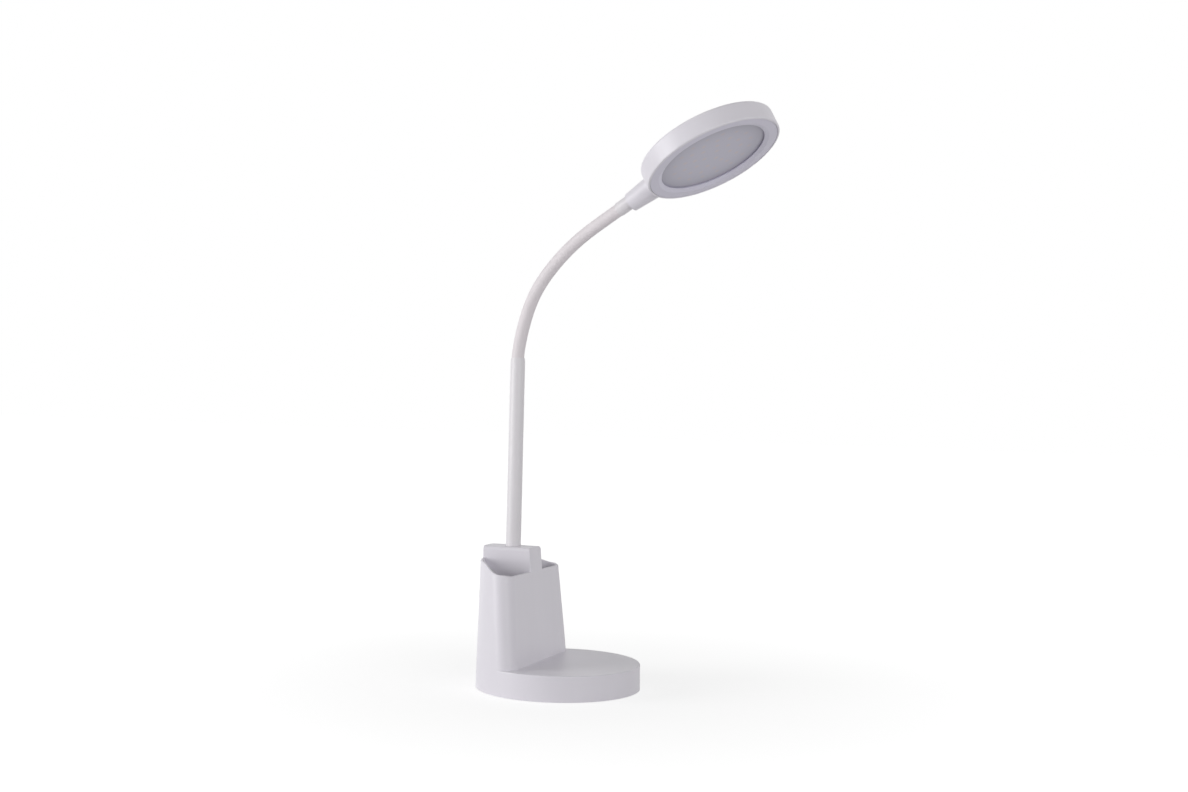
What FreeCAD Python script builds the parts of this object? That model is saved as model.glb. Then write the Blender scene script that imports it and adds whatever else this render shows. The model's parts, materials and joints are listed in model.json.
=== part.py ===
import FreeCAD, Part
import Sketcher
import math
import os
from types import SimpleNamespace
from FreeCAD import Placement, Rotation, Vector

# Desk lamp: a round base whose rear segment rises into a D shaped tower with two pen cups,
# a rigid sleeve and a flexible neck on the block between the cups, and a round LED head.
# Millimetres. The origin is the centre of the base on the table, +Z is up, the tray is
# towards -Y and the tower towards +Y.

# Lengths, each one named once.
LENGTHS = {
    # base moulding, measured at table height
    "base_radius": 65.0,
    "disc_top": 20.2,
    "disc_edge_radius": 1.0,
    "shell_wall": 2.2,
    "tower_front": 13.84,
    "tower_corner_radius": 10.0,
    "block_width": 23.5,
    "block_top": 109.5,
    "block_roof": 3.0,
    "block_side_radius": 3.0,
    "block_front_radius": 1.0,
    # rim of the cups: how far it lies under the block's top, and where it rises
    "rim_front_drop": 18.7,
    "rim_side_drop": 17.5,
    "rim_back_drop": 9.5,
    "rim_level_run": 6.1,
    "rim_rise_inset": 12.0,
    "rim_edge_radius": 0.8,
    # bottom cover, foot pad and their screws
    "cover_thickness": 3.0,
    "cover_clearance": 0.3,
    "pad_thickness": 1.0,
    "pad_recess": 0.6,
    "pad_inset": 5.0,
    "pad_clearance": 0.3,
    "screw_inset": 8.0,
    "boss_wall": 2.1,
    "screw_radius": 1.4,
    "screw_clearance": 0.1,
    "screw_head_rim": 1.4,
    "screw_head_height": 1.3,
    "screw_length": 9.0,
    "screw_slot_width": 0.7,
    "screw_slot_depth": 0.6,
    # inside the base, from the rear wall to the front
    "board_clearance": 0.8,
    "board_length": 26.0,
    "board_width": 15.0,
    "board_thickness": 1.6,
    "post_height": 3.0,
    "post_radius": 2.2,
    "post_inset": 3.0,
    "usb_width": 9.0,
    "usb_height": 3.2,
    "usb_depth": 8.6,
    "usb_corner_radius": 1.5,
    "usb_wall": 0.35,
    "usb_tongue": 0.7,
    "usb_clearance": 0.3,
    "usb_inset": 0.5,
    "battery_gap": 3.0,
    "battery_length": 50.0,
    "battery_width": 30.0,
    "battery_height": 8.0,
    "weight_gap": 3.0,
    "weight_clearance": 2.4,
    "weight_thickness": 5.0,
    "touch_inset": 27.0,
    "touch_radius": 7.0,
    "touch_thickness": 0.4,
    # flexible neck
    "neck_inset": 23.8,
    "neck_radius": 5.0,
    "neck_bore_radius": 1.6,
    "neck_gap": 4.0,
    "link_pitch": 13.3,
    "hose_wall": 1.4,
    "ball_clearance": 0.3,
    "plug_length": 15.0,
    "plug_clearance": 0.1,
    # neck sleeve and its seat in the block
    "sleeve_rise": 150.5,
    "sleeve_wall": 0.7,
    "sleeve_taper": 0.25,
    "sleeve_shoulder": 4.0,
    "sleeve_lip": 0.2,
    "sleeve_step": 0.2,
    "spigot_wall": 1.8,
    "spigot_length": 11.0,
    "seat_clearance": 0.2,
    "seat_wall": 2.0,
    "seat_depth": 37.5,
    "seat_floor": 3.0,
    "seat_rib": 2.0,
    "nut_clearance": 0.95,
    "nut_height": 5.0,
    "washer_inset": 0.2,
    "washer_thickness": 1.2,
    # neck end at the head, counted from the last pivot along the neck
    "ferrule_start": 4.3,
    "ferrule_length": 12.4,
    "ferrule_wall": 0.45,
    "ferrule_shoulder": 1.2,
    "ferrule_lip": 0.1,
    "collar_length": 22.92,
    "collar_step": 1.85,
    "collar_flare": 1.85,
    "collar_drop": 0.8,
    "collar_nose": 11.0,
    "tip_wall": 3.3,
    "tip_step": 2.0,
    "tip_spigot_length": 8.5,
    "tip_nut_wall": 2.1,
    "tip_nut_height": 3.0,
    "tip_pocket_gap": 0.9,
    "tip_pocket_length": 10.0,
    # head, measured from its lower face
    "head_radius": 53.15,
    "head_thickness": 15.2,
    "head_dome": 1.2,
    "head_edge_radius": 2.2,
    "head_roof": 2.0,
    "head_wall": 1.8,
    "head_lip": 1.7,
    "lip_edge_radius": 1.0,
    "neck_axis_height": 11.75,
    "ledge_height": 1.4,
    "ledge_width": 1.1,
    "bezel_gap": 0.3,
    "bezel_sink": 0.2,
    "bezel_thickness": 3.0,
    "bezel_width": 9.65,
    "bezel_slope_width": 3.0,
    "bezel_slope_rise": 1.5,
    "bezel_edge": 0.5,
    "bezel_undercut": 0.8,
    "bezel_wall": 1.4,
    "bezel_wall_gap": 0.3,
    "diffuser_inset": 4.9,
    "diffuser_clearance": 0.3,
    "diffuser_thickness": 1.8,
    "reflector_wall": 1.2,
    "reflector_height": 1.6,
    "reflector_draw": 3.1,
    "led_board_inset": 0.4,
    "led_board_thickness": 1.2,
    "chip_margin": 11.75,
    "chip_inner_circle": 6.5,
    "chip_length": 3.5,
    "chip_width": 2.8,
    "chip_height": 0.8,
    "head_boss_wall": 1.5,
    # shared by every cut
    "overrun": 2.0,
}

# Angles in degrees. The link angles are above the horizontal, from the sleeve to the head.
ANGLES = {"neck_heading_angle": -12.8, "link_relief_angle": 12.0, "head_tilt_angle": 29.78,
          "head_roll_angle": -0.71}
LINK_ANGLES = (78.6, 74.5, 69.7, 61.6, 52.9, 47.0, 42.6, 38.1, 33.5, 30.2, 29.7)

# Slopes: millimetres per millimetre of height.
SLOPES = {"wall_draft_share": 0.0171, "tower_lean_share": 0.093}

BASE_SCREW_ANGLES = (40.0, 140.0, 220.0, 320.0)
HEAD_SCREW_ANGLES = (0.0, 120.0, 240.0)
CHIPS_PER_RING = (3, 8, 13, 16)
CHIP_RING_ANGLES = (96.0, 3.0, 8.0, 3.0)

QUARTER_TURN = 90.0
FULL_TURN = 360.0


class Tied:
    """A size with its value and the expression that ties it to the sheet."""

    def __init__(self, value, text):
        self.value = value
        self.text = text

    def __add__(self, other):
        other = tied(other)
        return Tied(self.value + other.value, f"({self.text} + {other.text})")

    def __sub__(self, other):
        other = tied(other)
        return Tied(self.value - other.value, f"({self.text} - {other.text})")

    def __mul__(self, other):
        other = tied(other)
        return Tied(self.value * other.value, f"({self.text} * {other.text})")

    def __truediv__(self, other):
        other = tied(other)
        return Tied(self.value / other.value, f"({self.text} / {other.text})")

    def __neg__(self):
        return Tied(-self.value, f"(0 - {self.text})")


def tied(number):
    """A plain number as a Tied, and a Tied as it is."""
    return number if isinstance(number, Tied) else Tied(float(number), repr(number))


def root(square):
    """The square root of a tied size."""
    return Tied(math.sqrt(square.value), f"sqrt({square.text})")


def tangent(angle):
    """The tangent of a tied angle in degrees."""
    return Tied(math.tan(math.radians(angle.value)), f"tan({angle.text} * 1deg)")


def cosine(angle):
    """The cosine of a tied angle in degrees."""
    return Tied(math.cos(math.radians(angle.value)), f"cos({angle.text} * 1deg)")


def sine(angle):
    """The sine of a tied angle in degrees."""
    return Tied(math.sin(math.radians(angle.value)), f"sin({angle.text} * 1deg)")


ZERO = tied(0)
doc = FreeCAD.newDocument("desk_lamp")


def make_sheet():
    """Fill the sheet and give its cells back as tied sizes."""
    sheet = doc.addObject("Spreadsheet::Sheet", "sizes")
    cells = {}
    for row, (name, value) in enumerate({**LENGTHS, **ANGLES, **SLOPES}.items(), start=1):
        sheet.set(f"A{row}", name)
        sheet.set(f"B{row}", str(value))
        sheet.setAlias(f"B{row}", name)
        cells[name] = Tied(value, f"sizes.{name}")
    doc.recompute()
    return SimpleNamespace(**cells)


size = make_sheet()


def bind(thing, **ties):
    """Tie the properties of a document object to the sheet."""
    for key, tie in ties.items():
        thing.setExpression(key, tied(tie).text)
    return thing


def move(thing, x=ZERO, y=ZERO, z=ZERO):
    """Tie the place of a document object to the sheet."""
    for axis, tie in (("x", x), ("y", y), ("z", z)):
        thing.setExpression(f".Placement.Base.{axis}", tied(tie).text)
    return thing


def box(name, xs, ys, zs):
    """A box between two values on each axis."""
    made = doc.addObject("Part::Box", name)
    bind(made, Length=xs[1] - xs[0], Width=ys[1] - ys[0], Height=zs[1] - zs[0])
    return move(made, xs[0], ys[0], zs[0])


def cylinder(name, radius, bottom, top, x=ZERO, y=ZERO):
    """An upright cylinder."""
    made = bind(doc.addObject("Part::Cylinder", name), Radius=radius, Height=top - bottom)
    return move(made, x, y, bottom)


def cone(name, low_radius, high_radius, bottom, top):
    """An upright cone round the Z axis."""
    made = doc.addObject("Part::Cone", name)
    bind(made, Radius1=low_radius, Radius2=high_radius, Height=top - bottom)
    return move(made, z=bottom)


def hexagon(name, corner_radius, bottom, top, x=ZERO, y=ZERO):
    """An upright six sided prism."""
    made = doc.addObject("Part::Prism", name)
    made.Polygon = 6
    bind(made, Circumradius=corner_radius, Height=top - bottom)
    return move(made, x, y, bottom)


def fuse(name, *parts):
    """The parts joined into one."""
    made = doc.addObject("Part::MultiFuse", name)
    made.Shapes = list(parts)
    made.Refine = True
    return made


def cut(name, base, *tools):
    """The base with every tool taken out of it."""
    made = doc.addObject("Part::Cut", name)
    made.Base = base
    made.Tool = tools[0] if len(tools) == 1 else fuse(f"{name}_tools", *tools)
    return made


def common(name, *parts):
    """What the parts share."""
    made = doc.addObject("Part::MultiCommon", name)
    made.Shapes = list(parts)
    return made


def group(name, *parts):
    """Separate solids in one node."""
    made = doc.addObject("Part::Compound", name)
    made.Links = list(parts)
    return made


def soften(name, base, chosen):
    """Round the edges of the base for which chosen gives a radius."""
    doc.recompute()
    made = doc.addObject("Part::Fillet", name)
    made.Base = base
    rounds = ((number, chosen(edge)) for number, edge in enumerate(base.Shape.Edges, start=1))
    made.Edges = [(number, radius.value, radius.value) for number, radius in rounds if radius]
    return made


def round_along_y(name, base, radius):
    """Round the edges of a box that run along the Y axis."""
    def along_y(edge):
        span = edge.BoundBox
        return radius if span.YLength > span.XLength + span.ZLength else None

    return soften(name, base, along_y)


def draw(body, plane, corners):
    """A closed sketch through the corners; a corner with a centre is reached by an arc.

    A corner is (across, up) or (across, up, centre_across, centre_up)."""
    sketch = body.newObject("Sketcher::SketchObject", f"{body.Name}_outline")
    support = [item for item in body.Origin.OriginFeatures if item.Role == plane]
    sketch.AttachmentSupport = [(support[0], "")]
    sketch.MapMode = "FlatFace"
    count = len(corners)
    ends = []
    for number in range(count):
        start, end = corners[number], corners[(number + 1) % count]
        ends.append(add_side(sketch, start, end))
    for number in range(count):
        following = (number + 1) % count
        sketch.addConstraint(Sketcher.Constraint(
            "Coincident", number, ends[number][1], following, ends[following][0]))
        pin_point(sketch, number, ends[number][0], corners[number])
        if len(corners[following]) > 2:
            across = corners[following][0] - corners[following][2]
            up = corners[following][1] - corners[following][3]
            radius = root(across * across + up * up)
            made = sketch.addConstraint(Sketcher.Constraint("Radius", number, radius.value))
            sketch.setExpression(f"Constraints[{made}]", radius.text)
    return sketch


def add_side(sketch, start, end):
    """One side of a sketch; gives its start and end as the numbers of the sketch's points."""
    first = Vector(start[0].value, start[1].value, 0)
    last = Vector(end[0].value, end[1].value, 0)
    if len(end) == 2:
        sketch.addGeometry(Part.LineSegment(first, last), False)
        return 1, 2
    centre = Vector(end[2].value, end[3].value, 0)
    to_first, to_last = first - centre, last - centre
    circle = Part.Circle(centre, Vector(0, 0, 1), to_first.Length)
    angles = [math.atan2(arm.y, arm.x) for arm in (to_first, to_last)]
    forward = to_first.cross(to_last).z > 0
    if not forward:
        angles.reverse()
    sketch.addGeometry(Part.ArcOfCircle(circle, angles[0], angles[1]), False)
    return (1, 2) if forward else (2, 1)


def pin_point(sketch, side, point, corner):
    """Tie a point of a sketch to the sheet along both axes."""
    for kind, tie, axis in (("DistanceX", corner[0], -2), ("DistanceY", corner[1], -1)):
        if tie.value == 0:
            sketch.addConstraint(Sketcher.Constraint("PointOnObject", side, point, axis))
            continue
        order = (-1, 1, side, point) if tie.value > 0 else (side, point, -1, 1)
        made = sketch.addConstraint(Sketcher.Constraint(kind, *order, abs(tie.value)))
        sketch.setExpression(f"Constraints[{made}]", tie.text if tie.value > 0 else (-tie).text)


def turned(name, corners):
    """A body turned round its Z axis from an outline of (radius, height) corners."""
    body = doc.addObject("PartDesign::Body", name)
    sketch = draw(body, "XZ_Plane", corners)
    turn = body.newObject("PartDesign::Revolution", f"{name}_turn")
    turn.Profile = (sketch, [""])
    turn.ReferenceAxis = (sketch, ["V_Axis"])
    turn.Angle = FULL_TURN
    sketch.Visibility = False
    return body


def side_plate(name, corners, start, end):
    """A body with an outline of (y, z) corners, between two values of x."""
    body = doc.addObject("PartDesign::Body", name)
    sketch = draw(body, "YZ_Plane", corners)
    pad = body.newObject("PartDesign::Pad", f"{name}_pad")
    pad.Profile = (sketch, [""])
    bind(pad, Length=end - start)
    return move(body, x=start)


def wall_radius(height):
    """Outer radius of the drafted wall at a height."""
    return size.base_radius - size.wall_draft_share * height


def front_y(height):
    """The tower's leaning front face at a height."""
    return size.tower_front + size.tower_lean_share * (height - size.disc_top)


# Sizes that follow from the sheet and that more than one piece uses.
skirt_bottom = size.pad_thickness - size.pad_recess
cover_top = skirt_bottom + size.cover_thickness
roof_bottom = size.disc_top - size.shell_wall
far = size.base_radius + size.overrun
block_half = size.block_width / 2
block_inner_half = block_half - size.shell_wall
rim_front = size.block_top - size.rim_front_drop
rim_side = size.block_top - size.rim_side_drop
rim_back = size.block_top - size.rim_back_drop
rim_rise_start = front_y(rim_front) + size.rim_level_run
rim_rise_end = size.base_radius - size.rim_rise_inset

pad_radius = size.base_radius - size.pad_inset
screw_head_radius = size.screw_radius + size.screw_head_rim
screw_hole_radius = size.screw_radius + size.screw_clearance
boss_radius = screw_hole_radius + size.boss_wall
base_screw_circle = pad_radius - size.screw_inset
screw_seat = size.pad_thickness + size.screw_head_height + size.screw_clearance
screw_tip = screw_seat + size.screw_length

board_half = size.board_length / 2
board_bottom = cover_top + size.post_height
board_top = board_bottom + size.board_thickness
board_room = wall_radius(board_bottom) - size.shell_wall
board_back = root(board_room * board_room - board_half * board_half) - size.board_clearance
board_front = board_back - size.board_width
usb_bottom = board_top
usb_top = usb_bottom + size.usb_height
battery_back = board_front - size.battery_gap
battery_front = battery_back - size.battery_width
weight_back = battery_front - size.weight_gap
weight_radius = base_screw_circle - boss_radius - size.weight_clearance

neck_back = size.base_radius - size.neck_inset
plug_room = size.neck_radius + size.plug_clearance
ball_radius = size.neck_radius - size.hose_wall
sleeve_high_radius = plug_room + size.sleeve_wall
sleeve_low_radius = sleeve_high_radius + size.sleeve_taper
sleeve_bore_radius = size.neck_radius - size.sleeve_step
sleeve_top = size.block_top + size.sleeve_rise
neck_start = sleeve_top + size.neck_gap
spigot_radius = sleeve_bore_radius
spigot_bore_radius = spigot_radius - size.spigot_wall
seat_floor_top = size.block_top - size.seat_depth
seat_bottom = seat_floor_top - size.seat_floor
nut_radius = block_inner_half - size.nut_clearance
washer_radius = nut_radius - size.washer_inset

ferrule_end = size.ferrule_start + size.ferrule_length
ferrule_radius = plug_room + size.ferrule_wall
collar_end_radius = ferrule_radius + size.collar_step
collar_root_radius = collar_end_radius + size.collar_flare
tip_spigot_radius = size.neck_radius - size.tip_step
tip_nut_radius = tip_spigot_radius + size.tip_nut_wall
tip_pocket_radius = tip_nut_radius + size.tip_pocket_gap

mouth_radius = size.head_radius - size.head_lip
cavity_radius = size.head_radius - size.head_wall
roof_height = size.head_thickness - size.head_roof
bezel_radius = mouth_radius - size.bezel_gap
bezel_opening = bezel_radius - size.bezel_width
bezel_top = size.bezel_sink + size.bezel_thickness
ledge_top = bezel_top + size.ledge_height
diffuser_radius = bezel_radius - size.diffuser_inset
diffuser_top = bezel_top + size.diffuser_thickness
bezel_wall_radius = diffuser_radius + size.diffuser_clearance
bezel_wall_top = size.neck_axis_height - tip_nut_radius - size.bezel_wall_gap
reflector_top_radius = diffuser_radius - size.reflector_draw
led_board_radius = reflector_top_radius - size.led_board_inset
led_board_bottom = diffuser_top + size.reflector_height
led_board_top = led_board_bottom + size.led_board_thickness
chip_outer_circle = led_board_radius - size.chip_margin
chip_ring_pitch = (chip_outer_circle - size.chip_inner_circle) / (len(CHIPS_PER_RING) - 1)
head_screw_circle = (chip_outer_circle + led_board_radius) / 2
head_boss_radius = screw_hole_radius + size.head_boss_wall
# Distances from the head's centre back to the neck, along the neck.
tip_inner_face = -cavity_radius + (size.tip_wall - size.head_wall)
collar_start = -size.head_radius - size.collar_length


def arc_radius(run, drop):
    """The radius of an arc that leaves a line along it and drops away from it over a run."""
    return (run * run + drop * drop) / (drop * 2)


def tower_solid(name, inset, bottom, top, corner_radius):
    """The D shaped tower, drawn in by an inset on every side."""
    inset = tied(inset)
    drum = cone(f"{name}_drum", wall_radius(bottom) - inset, wall_radius(top) - inset, bottom, top)
    low, high = bottom - size.overrun, top + size.overrun
    front = side_plate(f"{name}_front", [
        (-far, low), (front_y(low) + inset, low), (front_y(high) + inset, high), (-far, high)],
        -far, far)
    raw = cut(f"{name}_raw", drum, front)

    def upright(edge):
        box_of = edge.BoundBox
        return corner_radius if box_of.ZLength > box_of.XLength + box_of.YLength else None

    return soften(f"{name}_form", raw, upright)


def rim_corners():
    """Outline, seen from the side, of what lies over the cups' rim."""
    rise = rim_back - rim_side
    run = rim_rise_end - rim_rise_start
    bend = (run * run + rise * rise) / (rise * 4)
    middle = ((rim_rise_start + rim_rise_end) / 2, (rim_side + rim_back) / 2)
    top = size.block_top + size.overrun
    front = front_y(rim_front)
    return [
        (-far, rim_front),
        (front, rim_front),
        (rim_rise_start, rim_side),
        (*middle, rim_rise_start, rim_side + bend),
        (rim_rise_end, rim_back, rim_rise_end, rim_back - bend),
        (far, rim_back),
        (far, top),
        (-far, top)]


def around(radius, angle):
    """A place on a circle round the Z axis."""
    angle = tied(angle)
    return radius * cosine(angle), radius * sine(angle)


def make_base_shell():
    """Disc, tower, pen cups, block and the seat of the sleeve: one moulding."""
    under = skirt_bottom - size.overrun
    disc = cone("disc_drum", wall_radius(skirt_bottom), wall_radius(size.disc_top),
                skirt_bottom, size.disc_top)

    def top_edge(edge):
        flat = edge.BoundBox.ZLength < size.disc_edge_radius.value
        high = edge.BoundBox.ZMin > size.disc_top.value - size.disc_edge_radius.value
        return size.disc_edge_radius if flat and high and edge.Closed else None

    disc_form = soften("disc_form", disc, top_edge)
    tower = tower_solid("tower", ZERO, skirt_bottom, size.block_top, size.tower_corner_radius)
    rims = [side_plate("rim_cut_far", rim_corners(), block_half, far),
            side_plate("rim_cut_near", rim_corners(), -far, -block_half)]
    outer = cut("outer_raw", fuse("outer", disc_form, tower), *rims)
    outer_form = soften("outer_front", soften("outer_sides", outer, block_side_edge), block_front_edge)
    inner = tower_solid("tower_space", size.shell_wall, under, size.block_top + size.overrun,
                        size.tower_corner_radius - size.shell_wall)
    reach = size.block_top + size.overrun
    cups = [common("cup_far", inner, box("cup_far_room", (block_half, far), (-far, far),
                                         (size.disc_top, reach))),
            common("cup_near", inner, box("cup_near_room", (-far, -block_half), (-far, far),
                                          (size.disc_top, reach)))]
    hollow = cone("hollow", wall_radius(under) - size.shell_wall,
                  wall_radius(roof_bottom) - size.shell_wall, under, roof_bottom)
    block_room = common("block_room", inner, box(
        "block_space", (-block_inner_half, block_inner_half), (-far, far),
        (under, size.block_top - size.block_roof)))
    usb_half = size.usb_width / 2 + size.usb_clearance
    usb_hole = round_along_y(
        "usb_hole", box("usb_hole_block", (-usb_half, usb_half), (board_back, far),
                        (usb_bottom - size.usb_clearance, usb_top + size.usb_clearance)),
        size.usb_corner_radius + size.usb_clearance)
    walls = cut("base_walls", outer_form, *cups, hollow, block_room, usb_hole)
    shell = cut("base_shell_raw", fuse("base_filled", walls, *seat_parts(), *base_bosses()),
                *seat_holes(), *boss_holes())
    finished = soften("base_shell", shell, rim_edge)
    return finished


def block_side_edge(edge):
    """The radius of an edge along a side of the block's top, or nothing."""
    span = edge.BoundBox
    on_top = span.ZMin > size.block_top.value - size.block_side_radius.value
    return size.block_side_radius if on_top and span.XLength < span.YLength else None


def block_front_edge(edge):
    """The radius of an edge round the block's front face, above the rim, or nothing."""
    near = size.block_front_radius.value / 2
    on_front = all(abs(point.Y - front_y(tied(point.Z)).value) < near for point in edge.Vertexes)
    above_rim = edge.BoundBox.ZMax > rim_back.value
    return size.block_front_radius if on_front and above_rim else None


def rim_edge(edge):
    """The radius of an edge along the cups' rim, or nothing."""
    span, near = edge.BoundBox, size.rim_edge_radius.value / 2
    nearest, farthest = sorted((abs(span.XMin), abs(span.XMax)))
    beside_block = nearest > block_half.value - near and farthest > block_half.value + near
    at_rim = (span.ZMin > rim_front.value - size.shell_wall.value
              and span.ZMax < rim_back.value + size.shell_wall.value)
    along_wall = edge.Length > size.shell_wall.value * 2
    return size.rim_edge_radius if beside_block and at_rim and along_wall else None


def seat_parts():
    """The tube, floor and ribs inside the block that hold the sleeve."""
    outer = sleeve_low_radius + size.seat_clearance + size.seat_wall
    roof = size.block_top - size.block_roof
    tube = cylinder("seat_tube", outer, seat_bottom, roof, y=neck_back)
    rib = box("seat_ribs", (-block_inner_half, block_inner_half),
              (neck_back - size.seat_rib / 2, neck_back + size.seat_rib / 2),
              (seat_bottom, roof))
    return tube, rib


def seat_holes():
    """The sleeve's bore and the smaller hole of its spigot."""
    bore = cylinder("seat_bore", sleeve_low_radius + size.seat_clearance,
                    seat_floor_top, size.block_top + size.overrun, y=neck_back)
    hole = cylinder("seat_hole", spigot_radius + size.seat_clearance,
                    seat_bottom - size.overrun, size.block_top, y=neck_back)
    return bore, hole


def base_bosses():
    """The screw bosses under the roof of the disc."""
    return [cylinder(f"boss_{number}", boss_radius, cover_top, size.disc_top - size.shell_wall / 2,
                     *around(base_screw_circle, angle))
            for number, angle in enumerate(BASE_SCREW_ANGLES)]


def boss_holes():
    """The blind holes in the screw bosses."""
    return [cylinder(f"boss_hole_{number}", screw_hole_radius,
                     cover_top - size.overrun, screw_tip + size.screw_clearance,
                     *around(base_screw_circle, angle))
            for number, angle in enumerate(BASE_SCREW_ANGLES)]


def make_bottom_cover():
    """The plate that closes the base, with a shallow recess for the foot pad."""
    plate = cylinder("cover_plate", wall_radius(cover_top) - size.shell_wall - size.cover_clearance,
                     skirt_bottom, cover_top)
    recess = cylinder("cover_recess", pad_radius + size.pad_clearance,
                      skirt_bottom - size.overrun, size.pad_thickness)
    holes = []
    for number, angle in enumerate(BASE_SCREW_ANGLES):
        place = around(base_screw_circle, angle)
        holes.append(cylinder(f"cover_hole_{number}", screw_hole_radius + size.screw_clearance,
                              skirt_bottom, cover_top + size.overrun, *place))
        holes.append(cylinder(f"cover_sink_{number}", screw_head_radius + size.pad_clearance,
                              skirt_bottom - size.overrun, screw_seat, *place))
    posts = []
    for side_number, side in enumerate((-1, 1)):
        for row_number, y in enumerate((board_front + size.post_inset,
                                        board_back - size.post_inset)):
            x = (board_half - size.post_inset) * side
            posts.append(cylinder(f"post_{side_number}_{row_number}", size.post_radius,
                                  size.pad_thickness, board_bottom, x, y))
    return cut("bottom_cover", fuse("cover_solid", plate, *posts), recess, *holes)


def make_foot_pad():
    """The soft disc that the lamp stands on."""
    return cylinder("foot_pad", pad_radius, ZERO, size.pad_thickness)


def screw(name, x, y, seat, tip, head_height):
    """A pan head screw that points up from its seat, with a cross recess."""
    head = cylinder(f"{name}_head", screw_head_radius, seat - head_height, seat, x, y)
    shank = cylinder(f"{name}_shank", size.screw_radius, seat, tip, x, y)
    half, reach = size.screw_slot_width / 2, screw_head_radius / 2
    depth = (seat - head_height - size.overrun, seat - head_height + size.screw_slot_depth)
    slots = [box(f"{name}_slot_x", (x - reach, x + reach), (y - half, y + half), depth),
             box(f"{name}_slot_y", (x - half, x + half), (y - reach, y + reach), depth)]
    return cut(name, fuse(f"{name}_solid", head, shank), *slots)


def make_base_screws():
    """Four screws through the bottom cover."""
    screws = [screw(f"base_screw_{number}", *around(base_screw_circle, angle),
                    screw_seat, screw_tip, size.screw_head_height)
              for number, angle in enumerate(BASE_SCREW_ANGLES)]
    return group("base_screws", *screws)


def make_counterweight():
    """A steel plate in the front of the base."""
    disc = cylinder("weight_disc", weight_radius, cover_top, cover_top + size.weight_thickness)
    room = box("weight_cut", (-far, far), (weight_back, far),
               (skirt_bottom, cover_top + size.weight_thickness + size.overrun))
    return cut("counterweight", disc, room)


def make_battery_pack():
    """The flat rechargeable cell under the tower."""
    half = size.battery_length / 2
    return box("battery_pack", (-half, half), (battery_front, battery_back),
               (cover_top, cover_top + size.battery_height))


def make_control_board():
    """The circuit board on the cover's posts."""
    return box("control_board", (-board_half, board_half), (board_front, board_back),
               (board_bottom, board_top))


def make_usb_socket():
    """The charging socket on the board, in the rear wall's cut-out."""
    half = size.usb_width / 2
    back = wall_radius(usb_bottom) - size.usb_inset
    front = back - size.usb_depth
    can = round_along_y("usb_can", box("usb_can_block", (-half, half), (front, back),
                                       (usb_bottom, usb_top)), size.usb_corner_radius)
    room = round_along_y(
        "usb_room", box("usb_room_block", (-half + size.usb_wall, half - size.usb_wall),
                        (front + size.usb_wall, back + size.overrun),
                        (usb_bottom + size.usb_wall, usb_top - size.usb_wall)),
        size.usb_corner_radius - size.usb_wall)
    middle = (usb_bottom + usb_top) / 2
    tongue = box("usb_tongue_plate", (-half + size.usb_wall * 4, half - size.usb_wall * 4),
                 (front, back - size.usb_inset),
                 (middle - size.usb_tongue / 2, middle + size.usb_tongue / 2))
    return fuse("usb_socket", cut("usb_shell", can, room), tongue)


def make_touch_plate():
    """The metal plate under the disc's top that feels a finger."""
    return cylinder("touch_plate", size.touch_radius, roof_bottom - size.touch_thickness,
                    roof_bottom, y=size.touch_inset - size.base_radius)


def make_neck_sleeve():
    """The rigid tube from the block up to the flexible neck."""
    low = seat_floor_top
    plug_seat = sleeve_top - size.plug_length
    floor = low + size.seat_floor
    shoulder = sleeve_top - size.sleeve_shoulder
    lip_radius = plug_room + size.sleeve_lip
    bend = arc_radius(size.sleeve_shoulder, sleeve_high_radius - lip_radius)
    body = turned("neck_sleeve", [
        (spigot_bore_radius, low - size.spigot_length),
        (spigot_radius, low - size.spigot_length),
        (spigot_radius, low),
        (sleeve_low_radius, low),
        (sleeve_high_radius, shoulder),
        (lip_radius, sleeve_top, sleeve_high_radius - bend, shoulder),
        (plug_room, sleeve_top),
        (plug_room, plug_seat),
        (sleeve_bore_radius, plug_seat),
        (sleeve_bore_radius, floor),
        (spigot_bore_radius, floor)])
    return move(body, y=neck_back)


def make_sleeve_washer():
    """The washer between the seat's floor and the nut."""
    bottom = seat_bottom - size.washer_thickness
    disc = cylinder("washer_disc", washer_radius, bottom, seat_bottom, y=neck_back)
    hole = cylinder("washer_hole", spigot_radius + size.seat_clearance,
                    bottom - size.overrun, seat_bottom + size.overrun, y=neck_back)
    return cut("sleeve_washer", disc, hole)


def make_sleeve_nut():
    """The nut that pulls the sleeve down on its seat."""
    top = seat_bottom - size.washer_thickness
    body = hexagon("nut_body", nut_radius, top - size.nut_height, top, y=neck_back)
    hole = cylinder("nut_hole", spigot_radius + size.plug_clearance,
                    top - size.nut_height - size.overrun, top + size.overrun, y=neck_back)
    return cut("sleeve_nut", body, hole)


# The neck's own frame: forward is the way it leans, across is its level cross direction.
heading = math.radians(size.neck_heading_angle.value)
forward = Vector(math.sin(heading), -math.cos(heading), 0)
across = Vector(math.cos(heading), math.sin(heading), 0)
upward = Vector(0, 0, 1)


def direction(angle):
    """A direction in the neck's plane, at an angle in degrees above the horizontal."""
    turn = math.radians(angle)
    return forward * math.cos(turn) + upward * math.sin(turn)


def neck_pivots():
    """The pivots between neighbouring links, from the sleeve to the head."""
    places = [Vector(0, neck_back.value, neck_start.value)]
    for angle in LINK_ANGLES:
        places.append(places[-1] + direction(angle) * size.link_pitch.value)
    return places


def neck_frame(place, angle):
    """The placement of a turned neck piece: its Z axis runs along the neck."""
    return Placement(place, Rotation(across, direction(angle + QUARTER_TURN), direction(angle), "ZXY"))


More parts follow.
